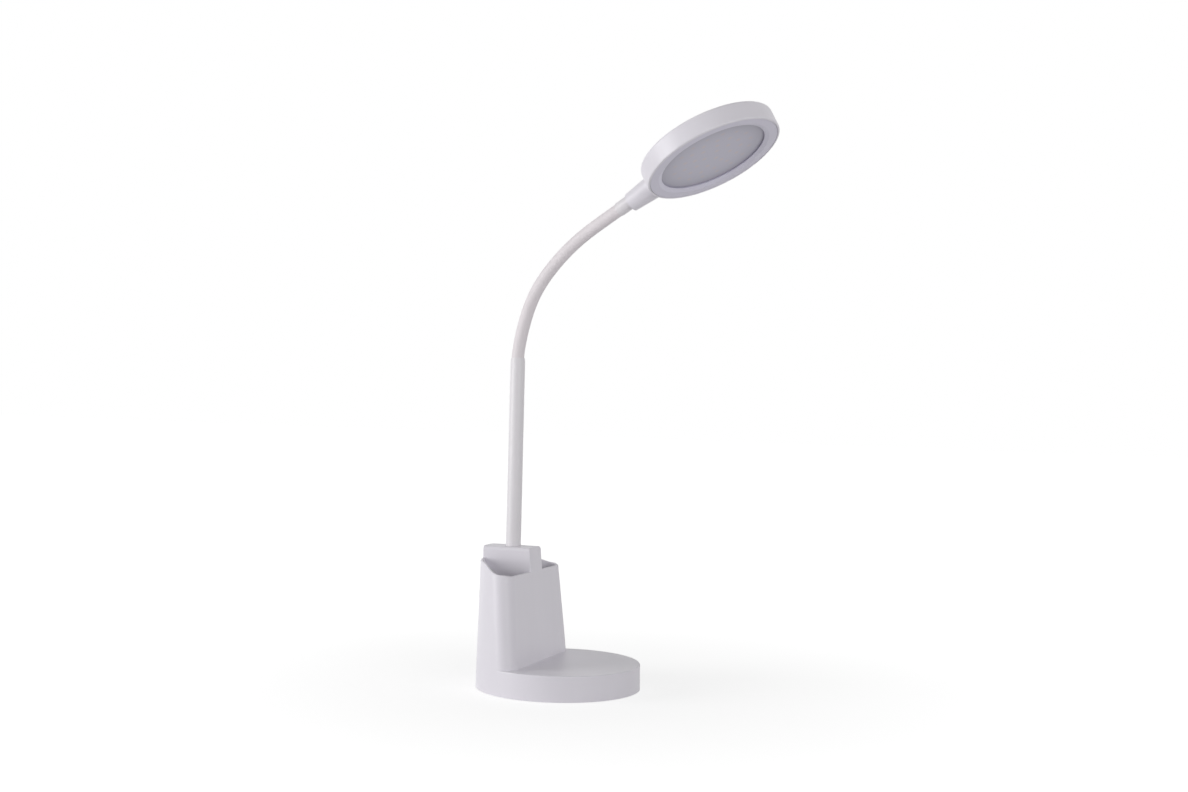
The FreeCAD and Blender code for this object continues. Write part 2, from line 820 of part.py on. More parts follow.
def ball_end():
    """Outline of the ball at a link's foot, from its bore out to the neck's surface."""
    slope, lift = tangent(size.link_relief_angle), size.ball_clearance / 2
    bore, ball = size.neck_bore_radius, ball_radius
    meet = ball * cosine(size.link_relief_angle)
    return [
        (bore, -root(ball * ball - bore * bore)),
        (meet, root(ball * ball - meet * meet), ZERO, ZERO),
        (size.neck_radius, size.neck_radius * slope + lift)]


def cup_end(length):
    """Outline of the hollow at a link's head, from the neck's surface in to its bore."""
    slope, lift = tangent(size.link_relief_angle), size.ball_clearance / 2
    hollow, bore = ball_radius + size.ball_clearance, size.neck_bore_radius
    meet = hollow * cosine(size.link_relief_angle)
    return [
        (size.neck_radius, length - size.neck_radius * slope - lift),
        (meet, length - root(hollow * hollow - meet * meet)),
        (bore, length - root(hollow * hollow - bore * bore), ZERO, length)]


def make_neck_root():
    """The neck's lower end, plugged into the sleeve."""
    length = neck_start - sleeve_top + size.plug_length
    body = turned("neck_root", [
        (size.neck_bore_radius, ZERO), (size.neck_radius, ZERO), *cup_end(length)])
    move(body, y=neck_back, z=sleeve_top - size.plug_length)
    return body


def make_neck_links(pivots):
    """The flexible neck as a chain of short rigid stretches."""
    links = []
    for number, angle in enumerate(LINK_ANGLES, start=1):
        body = turned(f"neck_link_{number:02d}", [*ball_end(), *cup_end(size.link_pitch)])
        body.Placement = neck_frame(pivots[number - 1], angle)
        links.append(body)
    return links


def head_turn():
    """How the head is turned: its X axis points away from the neck, its Z axis up."""
    rise = size.head_tilt_angle.value
    level = Rotation(direction(rise), across, direction(rise + QUARTER_TURN), "ZXY")
    return level * Rotation(Vector(1, 0, 0), size.head_roll_angle.value)


def head_centre(last_pivot):
    """The centre of the head's lower face."""
    along, drop = ferrule_end - collar_start, size.neck_axis_height
    return last_pivot + head_turn().multVec(Vector(along.value, 0, -drop.value))


def make_neck_tip(last_pivot):
    """The neck's upper end: a plug in the collar and a threaded spigot."""
    length = ferrule_end - collar_start + tip_inner_face - size.tip_wall
    end = length + size.tip_spigot_length
    body = turned("neck_tip", [
        *ball_end(),
        (size.neck_radius, length),
        (tip_spigot_radius, length),
        (tip_spigot_radius, end),
        (size.neck_bore_radius, end)])
    body.Placement = neck_frame(last_pivot, size.head_tilt_angle.value)
    return body


def make_neck_ferrule(last_pivot):
    """The short cap over the neck's end, up against the collar."""
    shoulder = size.ferrule_start + size.ferrule_shoulder
    lip_radius = plug_room + size.ferrule_lip
    bend = arc_radius(size.ferrule_shoulder, ferrule_radius - lip_radius)
    body = turned("neck_ferrule", [
        (plug_room, size.ferrule_start),
        (lip_radius, size.ferrule_start),
        (ferrule_radius, shoulder, ferrule_radius - bend, shoulder),
        (ferrule_radius, ferrule_end),
        (plug_room, ferrule_end)])
    body.Placement = neck_frame(last_pivot, size.head_tilt_angle.value)
    return body


def lying(thing, start, height):
    """Lay an upright solid along the head's X axis."""
    turn = Rotation(Vector(0, 1, 0), QUARTER_TURN)
    thing.Placement = Placement(Vector(start.value, 0, height.value), turn)
    return thing


def lying_cylinder(name, radius, start, end, height):
    """A cylinder along the head's X axis."""
    made = bind(doc.addObject("Part::Cylinder", name), Radius=radius, Height=end - start)
    return lying(made, start, height)


def make_head_nut(frame):
    """The nut inside the head that holds the neck's end."""
    body = doc.addObject("Part::Prism", "tip_nut_body")
    body.Polygon = 6
    bind(body, Circumradius=tip_nut_radius, Height=size.tip_nut_height)
    lying(body, tip_inner_face, size.neck_axis_height)
    hole = lying_cylinder("tip_nut_hole", tip_spigot_radius + size.plug_clearance,
                          tip_inner_face - size.overrun,
                          tip_inner_face + size.tip_nut_height + size.overrun,
                          size.neck_axis_height)
    made = cut("head_nut", body, hole)
    made.Placement = frame
    return made


def head_dish():
    """The round casing, solid, with a low dome on top."""
    edge, lip, top = size.head_edge_radius, size.lip_edge_radius, size.head_thickness
    rim = size.head_radius - edge
    sphere = arc_radius(rim, size.head_dome)
    crown = top + size.head_dome
    return turned("head_dish", [
        (ZERO, ZERO),
        (size.head_radius - lip, ZERO),
        (size.head_radius, lip, size.head_radius - lip, lip),
        (size.head_radius, top - edge),
        (rim, top, rim, top - edge),
        (ZERO, crown, ZERO, crown - sphere)])


def head_collar():
    """The flared collar that runs into the casing, with a round nose over the roof."""
    height = size.neck_axis_height - size.collar_drop
    length = size.collar_length + size.collar_nose
    slope = (collar_root_radius - collar_end_radius) / size.collar_length
    nose_radius = collar_end_radius + slope * length
    collar = doc.addObject("Part::Cone", "collar_cone")
    bind(collar, Radius1=collar_end_radius, Radius2=nose_radius, Height=length)
    lying(collar, collar_start, height)
    nose = bind(doc.addObject("Part::Sphere", "collar_nose_ball"), Radius=nose_radius)
    nose.Placement = Placement(Vector((collar_start + length).value, 0, height.value), Rotation())
    return collar, nose


def head_hollows():
    """The mouth, its ledge and the room above, less the wall that holds the neck."""
    mouth = cylinder("head_mouth", mouth_radius, -size.overrun, bezel_top)
    ledge_hole = cylinder("head_ledge_hole", mouth_radius - size.ledge_width, -size.overrun,
                          ledge_top)
    cavity = cylinder("head_cavity", cavity_radius, ledge_top, roof_height)
    wall = box("tip_wall_block", (-size.head_radius * 2, tip_inner_face),
               (-collar_root_radius, collar_root_radius), (ledge_top, roof_height + size.overrun))
    return mouth, ledge_hole, cut("head_room", cavity, wall)


def neck_holes():
    """The neck's bore in the collar, the spigot's hole and the pocket for its nut."""
    wall_start = tip_inner_face - size.tip_wall
    pocket = lying_cylinder("tip_pocket", tip_pocket_radius, tip_inner_face,
                            tip_inner_face + size.tip_pocket_length, size.neck_axis_height)
    bore = lying_cylinder("tip_bore", plug_room, collar_start - size.overrun, wall_start,
                          size.neck_axis_height)
    hole = lying_cylinder("tip_hole", tip_spigot_radius + size.plug_clearance,
                          wall_start - size.overrun, tip_inner_face + size.overrun,
                          size.neck_axis_height)
    return pocket, bore, hole


def make_head_shell(frame):
    """The head's casing with its collar: one moulding, open below."""
    solid = fuse("head_solid", head_dish(), *head_collar())
    casing = cut("head_casing", solid, *head_hollows(), *neck_holes())
    bosses = []
    holes = []
    for number, angle in enumerate(HEAD_SCREW_ANGLES):
        place = around(head_screw_circle, angle)
        bosses.append(cylinder(f"head_boss_{number}", head_boss_radius, led_board_top,
                               size.head_thickness - size.head_roof / 2, *place))
        holes.append(cylinder(f"head_boss_hole_{number}", screw_hole_radius,
                              led_board_top - size.overrun,
                              roof_height + size.screw_clearance, *place))
    made = cut("head_shell", fuse("head_filled", casing, *bosses), *holes)
    made.Placement = frame
    return made


def make_bezel_ring(frame):
    """The ring in the head's mouth: it slopes in to a thin edge, undercut at the diffuser."""
    face = size.bezel_sink
    edge = face + size.bezel_slope_rise
    wall_out = bezel_wall_radius + size.bezel_wall
    body = turned("bezel_ring", [
        (bezel_opening + size.bezel_slope_width, face),
        (bezel_radius, face),
        (bezel_radius, bezel_top),
        (wall_out, bezel_top),
        (wall_out, bezel_wall_top),
        (bezel_wall_radius, bezel_wall_top),
        (bezel_wall_radius, bezel_top),
        (bezel_opening + size.bezel_undercut, bezel_top),
        (bezel_opening, edge + size.bezel_edge),
        (bezel_opening, edge)])
    body.Placement = frame
    return body


def make_diffuser(frame):
    """The frosted disc on the bezel's shoulder."""
    body = turned("diffuser", [
        (ZERO, bezel_top),
        (diffuser_radius, bezel_top),
        (diffuser_radius, diffuser_top),
        (ZERO, diffuser_top)])
    body.Placement = frame
    return body


def make_reflector(frame):
    """The low white ring between the diffuser and the LED board."""
    wall = size.reflector_wall
    body = turned("reflector", [
        (diffuser_radius - wall, diffuser_top),
        (diffuser_radius, diffuser_top),
        (reflector_top_radius, led_board_bottom),
        (reflector_top_radius - wall, led_board_bottom)])
    body.Placement = frame
    return body


def make_led_board(frame):
    """The round aluminium board that carries the LEDs."""
    disc = cylinder("led_board_disc", led_board_radius, led_board_bottom, led_board_top)
    holes = [cylinder(f"led_board_hole_{number}", screw_hole_radius,
                      led_board_bottom - size.overrun, led_board_top + size.overrun,
                      *around(head_screw_circle, angle))
             for number, angle in enumerate(HEAD_SCREW_ANGLES)]
    board = cut("led_board", disc, *holes)
    board.Placement = frame
    return board


def make_led_chips(frame):
    """The LEDs, in rings on the underside of their board."""
    chips = []
    for ring, count in enumerate(CHIPS_PER_RING):
        for number in range(count):
            angle = CHIP_RING_ANGLES[ring] + FULL_TURN * number / count
            chip = doc.addObject("Part::Box", f"chip_{ring}_{number}")
            bind(chip, Length=size.chip_length, Width=size.chip_width, Height=size.chip_height)
            turn = Rotation(Vector(0, 0, 1), angle)
            reach = (size.chip_inner_circle + chip_ring_pitch * ring).value
            corner = Vector(reach - size.chip_length.value / 2, -size.chip_width.value / 2, 0)
            level = Vector(0, 0, (led_board_bottom - size.chip_height).value)
            chip.Placement = Placement(turn.multVec(corner) + level, turn)
            chips.append(chip)
    made = group("led_chips", *chips)
    made.Placement = frame
    return made


def make_head_screws(frame):
    """Three screws that hold the LED board up on its bosses."""
    screws = [screw(f"head_screw_{number}", *around(head_screw_circle, angle),
                    led_board_bottom, roof_height, size.screw_head_height)
              for number, angle in enumerate(HEAD_SCREW_ANGLES)]
    made = group("head_screws", *screws)
    made.Placement = frame
    return made


def make_parts():
    """Every sub-part of the lamp, from the table up."""
    parts = [make_base_shell(), make_bottom_cover(), make_foot_pad(), make_base_screws(),
             make_counterweight(), make_battery_pack(), make_control_board(), make_usb_socket(),
             make_touch_plate(), make_neck_sleeve(), make_sleeve_washer(), make_sleeve_nut()]
    pivots = neck_pivots()
    last = pivots[-1]
    frame = Placement(head_centre(last), head_turn())
    parts += [make_neck_root(), *make_neck_links(pivots), make_neck_tip(last),
              make_neck_ferrule(last), make_head_nut(frame), make_head_shell(frame),
              make_bezel_ring(frame), make_diffuser(frame), make_reflector(frame),
              make_led_board(frame), make_led_chips(frame), make_head_screws(frame)]
    for place in pivots:
        print("pivot %.4f %.4f %.4f" % tuple(place))
    print("head centre %.4f %.4f %.4f" % tuple(head_centre(last)))
    return parts


def check(parts):
    """Stop if any object failed or any sub-part is empty or broken."""
    for thing in doc.Objects:
        if any(word in ("Invalid", "Error") for word in thing.State):
            raise RuntimeError(f"{thing.Name} failed: {thing.State}")
    for part in parts:
        if part.Shape.isNull() or not part.Shape.isValid() or not part.Shape.Solids:
            raise RuntimeError(f"{part.Label} is empty or broken")


def write(parts):
    """Write one STEP file for each sub-part."""
    os.makedirs("parts", exist_ok=True)
    for part in parts:
        part.Shape.exportStep(f"parts/{part.Label}.step")
        print(f"{part.Label}: {len(part.Shape.Solids)} solids, {part.Shape.Volume:.0f} mm3")


parts = make_parts()
doc.recompute()
check(parts)
write(parts)
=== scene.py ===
import bpy
import bmesh
import json
import math
from mathutils import Matrix, Vector


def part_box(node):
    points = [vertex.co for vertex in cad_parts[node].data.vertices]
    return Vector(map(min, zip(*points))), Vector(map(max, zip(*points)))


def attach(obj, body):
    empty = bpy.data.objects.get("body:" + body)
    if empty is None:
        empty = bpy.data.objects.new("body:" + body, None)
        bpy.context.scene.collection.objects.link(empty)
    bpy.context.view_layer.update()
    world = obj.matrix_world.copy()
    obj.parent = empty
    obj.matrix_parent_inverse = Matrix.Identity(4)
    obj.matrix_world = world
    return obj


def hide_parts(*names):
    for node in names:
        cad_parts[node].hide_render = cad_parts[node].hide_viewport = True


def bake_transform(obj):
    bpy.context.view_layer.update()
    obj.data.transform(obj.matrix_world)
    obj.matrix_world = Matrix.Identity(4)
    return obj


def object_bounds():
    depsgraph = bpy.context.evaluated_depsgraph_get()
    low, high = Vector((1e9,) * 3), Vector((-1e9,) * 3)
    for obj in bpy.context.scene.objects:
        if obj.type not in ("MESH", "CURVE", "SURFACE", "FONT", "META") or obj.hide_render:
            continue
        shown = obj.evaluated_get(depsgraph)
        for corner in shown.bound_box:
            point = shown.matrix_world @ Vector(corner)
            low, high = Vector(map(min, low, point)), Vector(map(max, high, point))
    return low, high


# Desk lamp: white moulded base with two pen cups, rigid sleeve, flexible silicone neck and a
# round LED head. Metres, in the model's own frame: +Z up, tray towards -Y.

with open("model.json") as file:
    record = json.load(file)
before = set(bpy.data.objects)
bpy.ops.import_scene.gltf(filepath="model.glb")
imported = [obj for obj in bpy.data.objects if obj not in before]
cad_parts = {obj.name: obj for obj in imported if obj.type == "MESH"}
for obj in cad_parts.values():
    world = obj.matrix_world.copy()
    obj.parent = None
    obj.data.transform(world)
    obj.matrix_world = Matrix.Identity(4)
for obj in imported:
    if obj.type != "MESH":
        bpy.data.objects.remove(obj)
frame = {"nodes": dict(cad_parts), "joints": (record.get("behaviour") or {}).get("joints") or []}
cad_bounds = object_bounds()
nodes = frame["nodes"]
joints = {joint["name"]: joint for joint in frame["joints"]}
MM = 0.001
WATT = 1.0
WHITE = "#FFFFFF"

# How round pieces are divided, which corners stay crisp and which points count as one.
ROUND_SIDES = 48
SHARP_ANGLE = math.radians(40)
MERGE_DISTANCE = 0.002 * MM

# How far the gloss of plastic and of metal strays, and how strongly the plastic's grain shows.
GLOSS_SPREAD, METAL_GLOSS_SPREAD = 0.05, 0.08
GRAIN_STRENGTH = 0.25

# The lights: where they lie as the camera sees it (left, near, up), how far off, how wide and
# how strong. The world lights the rest.
KEY_LIGHT = ((1.0, 0.20, 0.16), 1.8, 1.0, 16.0 * WATT)
FILL_LIGHT = ((-0.6, 1.0, 0.1), 2.4, 1.6, 21.0 * WATT)
WORLD_STRENGTH = 0.31

# The floor's half width, and how its glow grows with the distance from the lamp.
FLOOR_REACH = 6.0
GLOW_START, GLOW_STOP = 100 * MM, 500 * MM
GLOW_NEAR, GLOW_FAR = 0.76, 0.92

# The photograph's width and its camera.
IMAGE_WIDTH = 1188
SENSOR_WIDTH = 36.0
FOCAL_PIXELS = 1580.4
CAMERA_PLACE = Vector((-1.16186, -0.46107, 0.23712))
CAMERA_HEADING = math.radians(20.591)
CAMERA_RISE = math.radians(-0.283)
CAMERA_ROLL = math.radians(-1.412)
CLIP_START = 10 * MM

# The neck: pivots from the sleeve to the head, read from the joints in order.
NECK_JOINTS = (
    "neck_lower_sway", "neck_lower_bend", "neck_sway_03", "neck_bend_04", "neck_sway_05",
    "neck_bend_06", "neck_upper_sway", "neck_upper_bend", "neck_sway_09", "neck_bend_10",
    "neck_sway_11", "neck_bend_12")
PIVOTS = [Vector(joints[name]["pos_m"]) for name in NECK_JOINTS]
NECK_RADIUS = 5.0 * MM
SLEEVE_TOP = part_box("neck_sleeve")[1].z
PLUG_LENGTH = 15.0 * MM
BEND_STEPS = 10

# The head's directions: away from the neck, across the lamp and out of its back.
HEAD_TILT = math.radians(29.78)
HEAD_ROLL = math.radians(-0.71)
HEADING = math.radians(-12.8)
UP = Vector((0, 0, 1))
FORWARD = Vector((math.sin(HEADING), -math.cos(HEADING), 0))
NECK_END = FORWARD * math.cos(HEAD_TILT) + UP * math.sin(HEAD_TILT)
ACROSS = Matrix.Rotation(HEAD_ROLL, 3, NECK_END) @ UP.cross(FORWARD)
HEAD_UP = NECK_END.cross(ACROSS)

# Lengths along the neck's end, from the last pivot to the head's centre.
FERRULE_START = 4.3 * MM
FERRULE_LENGTH = 12.4 * MM
COLLAR_LENGTH = 22.92 * MM
HEAD_RADIUS = 53.15 * MM
NECK_AXIS_HEIGHT = 11.75 * MM
HEAD_REACH = FERRULE_START + FERRULE_LENGTH + COLLAR_LENGTH + HEAD_RADIUS
HEAD_CENTRE = PIVOTS[-1] + NECK_END * HEAD_REACH - HEAD_UP * NECK_AXIS_HEIGHT

# The threaded spigot at the neck's end, measured from the last pivot.
SPIGOT_START = 39.62 * MM
SPIGOT_LENGTH = 8.5 * MM
SPIGOT_RADIUS = 3.0 * MM
SPIGOT_BORE = 1.6 * MM
THREAD_PITCH = 1.0 * MM
THREAD_DEPTH = 0.35 * MM

# The LEDs on their board, in rings round the head's centre, and how they show.
LEDS_PER_RING = (3, 8, 13, 16)
LED_RING_STARTS = (96.0, 3.0, 8.0, 3.0)
LED_INNER_RING = 6.5 * MM
LED_OUTER_RING = 31.0 * MM
LED_RING_PITCH = (LED_OUTER_RING - LED_INNER_RING) / (len(LEDS_PER_RING) - 1)
LED_FACE = 5.8 * MM
LED_LENGTH, LED_WIDTH, LED_HEIGHT = 3.5 * MM, 2.8 * MM, 0.8 * MM
LED_FRAME_WALL = 0.45 * MM
LED_WINDOW_RISE = 0.05 * MM
LED_GLOW_RADIUS = 2.8 * MM
# The diffuser's rim, and how steeply the painted shade darkens the sheet towards it.
DIFFUSER_RIM = 42.0 * MM
PAINTED_RIM_SHADE_POWER = 4.0

# The tongue and contacts in the charging socket.
CONTACTS = 12
CONTACT_PITCH = 0.5 * MM
CONTACT_WIDTH, CONTACT_LENGTH, CONTACT_RISE = 0.28 * MM, 3.2 * MM, 0.03 * MM
TONGUE_WIDTH, TONGUE_THICKNESS, TONGUE_INSET = 6.4 * MM, 0.8 * MM, 0.45 * MM
TONGUE_EDGE = 0.12 * MM
EDGE_STEPS = 2

# The battery pack's soft corners and the tape over its sealed end.
PACK_EDGE, PACK_EDGE_STEPS = 1.8 * MM, 5
TAPE_WIDTH, TAPE_RISE = 6.0 * MM, 0.08 * MM

# Parts on the control board: width, depth, height, then their places as shares of the board.
CHIP_SIZES = {"charger_chip": (5.0, 5.0, 0.9), "touch_chip": (4.0, 5.0, 1.4)}
CHIP_SHARES = {"charger_chip": (0.30, 0.42), "touch_chip": (0.72, 0.36)}
CHIP_EDGE_SHARE = 0.125
CAPACITOR_SIZE = (1.6, 0.8, 0.8)
CAPACITOR_COLUMNS, CAPACITOR_ROW_SHARES = 7, (0.10, 0.78)
CAPACITOR_SPAN_SHARES = (0.10, 0.90)


def add(tree, kind, settings=None, links=None, values=None):
    """Add a node to a tree: its settings, what its inputs read and their values."""
    node = tree.nodes.new(kind)
    for key, value in (settings or {}).items():
        setattr(node, key, value)
    for key, value in (values or {}).items():
        node.inputs[key].default_value = value
    for key, source in (links or {}).items():
        tree.links.new(source, node.inputs[key])
    return node


def linear(code):
    """An sRGB hex colour as linear RGBA."""
    parts = [int(code[start:start + 2], 16) / 255 for start in (1, 3, 5)]
    return (*(part / 12.92 if part <= 0.04045 else ((part + 0.055) / 1.055) ** 2.4
              for part in parts), 1.0)


def axes(x_axis, y_axis, z_axis, origin):
    """The matrix that carries a mesh's own axes onto these."""
    return Matrix.Translation(origin) @ Matrix((x_axis, y_axis, z_axis)).transposed().to_4x4()


HEAD_FRAME = axes(NECK_END, ACROSS, HEAD_UP, HEAD_CENTRE)
NECK_END_FRAME = axes(ACROSS, HEAD_UP, NECK_END, PIVOTS[-1])


def material(name):
    """A new material with its tree, its shader and its Object coordinates."""
    made = bpy.data.materials.new(name)
    made.use_nodes = True
    tree = made.node_tree
    shader = next(node for node in tree.nodes if node.type == "BSDF_PRINCIPLED")
    place = add(tree, "ShaderNodeTexCoord").outputs["Object"]
    return made, tree, shader, place


def grained(tree, shader, place, roughness, grain_mm, relief_mm):
    """Give a shader its fine moulded grain: uneven gloss and a shallow relief."""
    grain = add(tree, "ShaderNodeTexNoise", links={"Vector": place},
                values={"Scale": 1 / (grain_mm * MM), "Detail": 2.0, "Roughness": 0.6})
    gloss = add(tree, "ShaderNodeMapRange", links={"Value": grain.outputs["Fac"]},
                values={"To Min": roughness - GLOSS_SPREAD, "To Max": roughness + GLOSS_SPREAD})
    tree.links.new(gloss.outputs["Result"], shader.inputs["Roughness"])
    bump = add(tree, "ShaderNodeBump", links={"Height": grain.outputs["Fac"]},
               values={"Strength": GRAIN_STRENGTH, "Distance": relief_mm * MM})
    tree.links.new(bump.outputs["Normal"], shader.inputs["Normal"])


def moulded(name, light, dark, roughness, grain_mm, relief_mm, drift_mm=28.0, flow=1.0, ior=1.53):
    """Moulded or drawn plastic: a fine grain, and a faint drift of tone stretched up the part."""
    made, tree, shader, place = material(name)
    stretched = add(tree, "ShaderNodeMapping", links={"Vector": place},
                    values={"Scale": (1.0, 1.0, flow)})
    drift = add(tree, "ShaderNodeTexNoise", links={"Vector": stretched.outputs["Vector"]},
                values={"Scale": 1 / (drift_mm * MM), "Detail": 3.0, "Roughness": 0.55})
    tone = add(tree, "ShaderNodeMix", {"data_type": "RGBA"},
               {"Factor": drift.outputs["Fac"]}, {"A": linear(dark), "B": linear(light)})
    tree.links.new(tone.outputs["Result"], shader.inputs["Base Color"])
    grained(tree, shader, place, roughness, grain_mm, relief_mm)
    shader.inputs["IOR"].default_value = ior
    return made


def metal(name, colour, roughness, lay_mm):
    """Plated, rolled or cut metal: a satin face with a faint uneven gloss."""
    made, tree, shader, place = material(name)
    lay = add(tree, "ShaderNodeTexNoise", links={"Vector": place},
              values={"Scale": 1 / (lay_mm * MM), "Detail": 4.0})
    gloss = add(tree, "ShaderNodeMapRange", links={"Value": lay.outputs["Fac"]},
                values={"To Min": roughness - METAL_GLOSS_SPREAD,
                        "To Max": roughness + METAL_GLOSS_SPREAD})
    tree.links.new(gloss.outputs["Result"], shader.inputs["Roughness"])
    shader.inputs["Base Color"].default_value = linear(colour)
    shader.inputs["Metallic"].default_value = 1.0
    return made


def round_head(tree, place):
    """A spot's distance from the head's axis and its angle round it."""
    local = add(tree, "ShaderNodeMapping", {"vector_type": "TEXTURE"}, {"Vector": place},
                {"Location": HEAD_CENTRE, "Rotation": HEAD_FRAME.to_euler()})
    parts = add(tree, "ShaderNodeSeparateXYZ", links={"Vector": local.outputs["Vector"]})
    flat = add(tree, "ShaderNodeCombineXYZ", links={"X": parts.outputs["X"], "Y": parts.outputs["Y"]})
    reach = add(tree, "ShaderNodeVectorMath", {"operation": "LENGTH"}, {0: flat.outputs[0]})
    angle = add(tree, "ShaderNodeMath", {"operation": "ARCTAN2"},
                {0: parts.outputs["Y"], 1: parts.outputs["X"]})
    return reach.outputs["Value"], angle.outputs[0]


def led_glow(tree, reach, angle):
    """How near a spot on the diffuser is to an LED behind it, from 0 to 1."""
    glow = None
    for ring, count in enumerate(LEDS_PER_RING):
        radius = LED_INNER_RING + LED_RING_PITCH * ring
        half_step = math.pi / count
        turned = add(tree, "ShaderNodeMath", {"operation": "SUBTRACT"}, {0: angle},
                     {1: math.radians(LED_RING_STARTS[ring])})
        nearest = add(tree, "ShaderNodeMath", {"operation": "WRAP"}, {0: turned.outputs[0]},
                      {1: half_step, 2: -half_step})
        beside = add(tree, "ShaderNodeMath", {"operation": "MULTIPLY"}, {0: nearest.outputs[0]},
                     {1: radius})
        outward = add(tree, "ShaderNodeMath", {"operation": "SUBTRACT"}, {0: reach}, {1: radius})
        offset = add(tree, "ShaderNodeCombineXYZ", links={"X": beside.outputs[0], "Y": outward.outputs[0]})
        distance = add(tree, "ShaderNodeVectorMath", {"operation": "LENGTH"}, {0: offset.outputs[0]})
        spot = add(tree, "ShaderNodeMapRange", {"interpolation_type": "SMOOTHSTEP"},
                   {"Value": distance.outputs["Value"]},
                   {"From Min": 0.0, "From Max": LED_GLOW_RADIUS, "To Min": 1.0, "To Max": 0.0})
        if glow is None:
            glow = spot.outputs["Result"]
        else:
            glow = add(tree, "ShaderNodeMath", {"operation": "MAXIMUM"},
                       {0: glow, 1: spot.outputs["Result"]}).outputs[0]
    return glow


def frosted(name, cold, warm, rim_shade):
    """Frosted sheet before unlit LEDs: cool grey, a faint warm spot for each, and painted shade darkening
    it towards its rim.
    """
    made, tree, shader, place = material(name)
    reach, angle = round_head(tree, place)
    spots = add(tree, "ShaderNodeMix", {"data_type": "RGBA"},
                {"Factor": led_glow(tree, reach, angle)}, {"A": linear(cold), "B": linear(warm)})
    share = add(tree, "ShaderNodeMath", {"operation": "DIVIDE"}, {0: reach}, {1: DIFFUSER_RIM})
    # painted shade: the sheet's colour darkens towards its rim, where the recess round it shades it
    painted_shade = add(tree, "ShaderNodeMath", {"operation": "POWER", "use_clamp": True},
               {0: share.outputs[0]}, {1: PAINTED_RIM_SHADE_POWER})
    tone = add(tree, "ShaderNodeMix", {"data_type": "RGBA"},
               {"Factor": painted_shade.outputs[0], "A": spots.outputs["Result"]}, {"B": linear(rim_shade)})
    tree.links.new(tone.outputs["Result"], shader.inputs["Base Color"])
    grained(tree, shader, place, 0.50, 0.6, 0.02)
    shader.inputs["IOR"].default_value = 1.58
    return made


def make_finishes():
    """Every finish of the lamp."""
    return {
        # ABS, moulded against a spark-eroded tool: satin white, a hint of violet, faint flow marks
        "abs": moulded("spark_eroded_white_abs", "#ECE9F0", "#E7E4EB", 0.40, 0.7, 0.02, 20.0, 0.18),
        # the same ABS from a polished tool, a shade greyer and more violet
        "bezel": moulded("satin_white_abs", "#DEDBE9", "#DAD7E5", 0.42, 0.7, 0.015),
        # ABS drawn through a die: long faint lines up the tube, nearly neutral
        "sleeve": moulded("extruded_white_abs", "#EDEAED", "#E7E4E8", 0.38, 0.9, 0.012, 6.0, 0.05),
        # silicone hose: matt and smooth, a little warmer
        "silicone": moulded("matt_white_silicone", "#EEE8EB", "#E8E2E5", 0.52, 0.8, 0.008, 12.0,
                            ior=1.41),
        # polycarbonate, frosted: matt grey while the lamp is off; the colour towards its rim is painted
        # shade of the recess round it
        "diffuser": frosted("frosted_polycarbonate", "#CECCD9", "#D7CCCF", "#B3B1BD"),
        # EVA foam: dull dark brown, open pored at its cut edge
        "foam": moulded("brown_eva_foam", "#5A4A46", "#443835", 0.85, 1.2, 0.1, 6.0, ior=1.5),
        # steel, zinc plated: pale bluish grey, satin
        "zinc": metal("zinc_plated_steel", "#B8BCC0", 0.35, 2.0),
        # steel, nickel plated: warmer and brighter
        "nickel": metal("nickel_plated_steel", "#C9C6C0", 0.25, 1.5),
        # gold flash over nickel on the contacts
        "gold": metal("gold_plated_contact", "#E3C078", 0.22, 0.8),
        # copper foil behind the touch spot: rosy, satin from rolling
        "copper": metal("rolled_copper_foil", "#C98B62", 0.40, 2.0),
        # aluminium laminate of the pouch cell: silver, finely wrinkled
        "laminate": metal("aluminium_laminate", "#B4B8BE", 0.42, 3.0),
        # polyimide tape over the cell's sealed end: clear amber
        "tape": moulded("amber_polyimide_tape", "#C8862E", "#BC7A26", 0.30, 1.0, 0.01, 5.0, ior=1.7),
        # glass fibre board under green solder mask: the weave shows as a faint grain
        "board": moulded("green_fr4_board", "#2F6B4A", "#285F41", 0.40, 1.4, 0.01, 3.0),
        # aluminium board under white solder mask: even, slightly glossy
        "mask": moulded("white_solder_mask", "#EDEDEA", "#E7E7E3", 0.35, 1.4, 0.01),
        # glass filled PPA of the LED frames: matt white
        "ppa": moulded("white_ppa", "#EFEEE9", "#E8E7E1", 0.55, 0.8, 0.01, 3.0),
        # phosphor in silicone over the LED chips: matt yellow
        "phosphor": moulded("yellow_led_phosphor", "#E8B24A", "#DFA43C", 0.45, 0.5, 0.01, 1.0),
        # epoxy and LCP mouldings on the board: black with a grey bloom
        "black": moulded("black_epoxy_moulding", "#232427", "#1B1C1E", 0.50, 0.5, 0.01, 3.0),
        # barium titanate of the small capacitors: fired, biscuit brown
        "ceramic": moulded("brown_fired_ceramic", "#A8876A", "#97765A", 0.45, 0.4, 0.01, 1.0)}


def dress(name, surface):
    """Give a CAD node its material."""
    slots = nodes[name].data.materials
    slots.clear()
    slots.append(surface)


finish = make_finishes()
NODE_FINISH = {
    "base_shell": "abs", "bottom_cover": "abs", "foot_pad": "foam", "base_screws": "zinc",
    "counterweight": "zinc", "battery_pack": "laminate", "control_board": "board",
    "usb_socket": "nickel", "touch_plate": "copper", "neck_sleeve": "sleeve",
    "sleeve_washer": "zinc", "sleeve_nut": "zinc", "neck_root": "silicone",
    "neck_tip": "silicone", "neck_ferrule": "sleeve", "head_nut": "zinc", "head_shell": "abs",
    "bezel_ring": "bezel", "diffuser": "diffuser", "reflector": "bezel",
    "led_board": "mask", "led_chips": "ppa", "head_screws": "zinc"}
NODE_FINISH.update({f"neck_link_{number:02d}": "silicone" for number in range(1, len(PIVOTS))})
for node_name, finish_name in NODE_FINISH.items():
    dress(node_name, finish[finish_name])


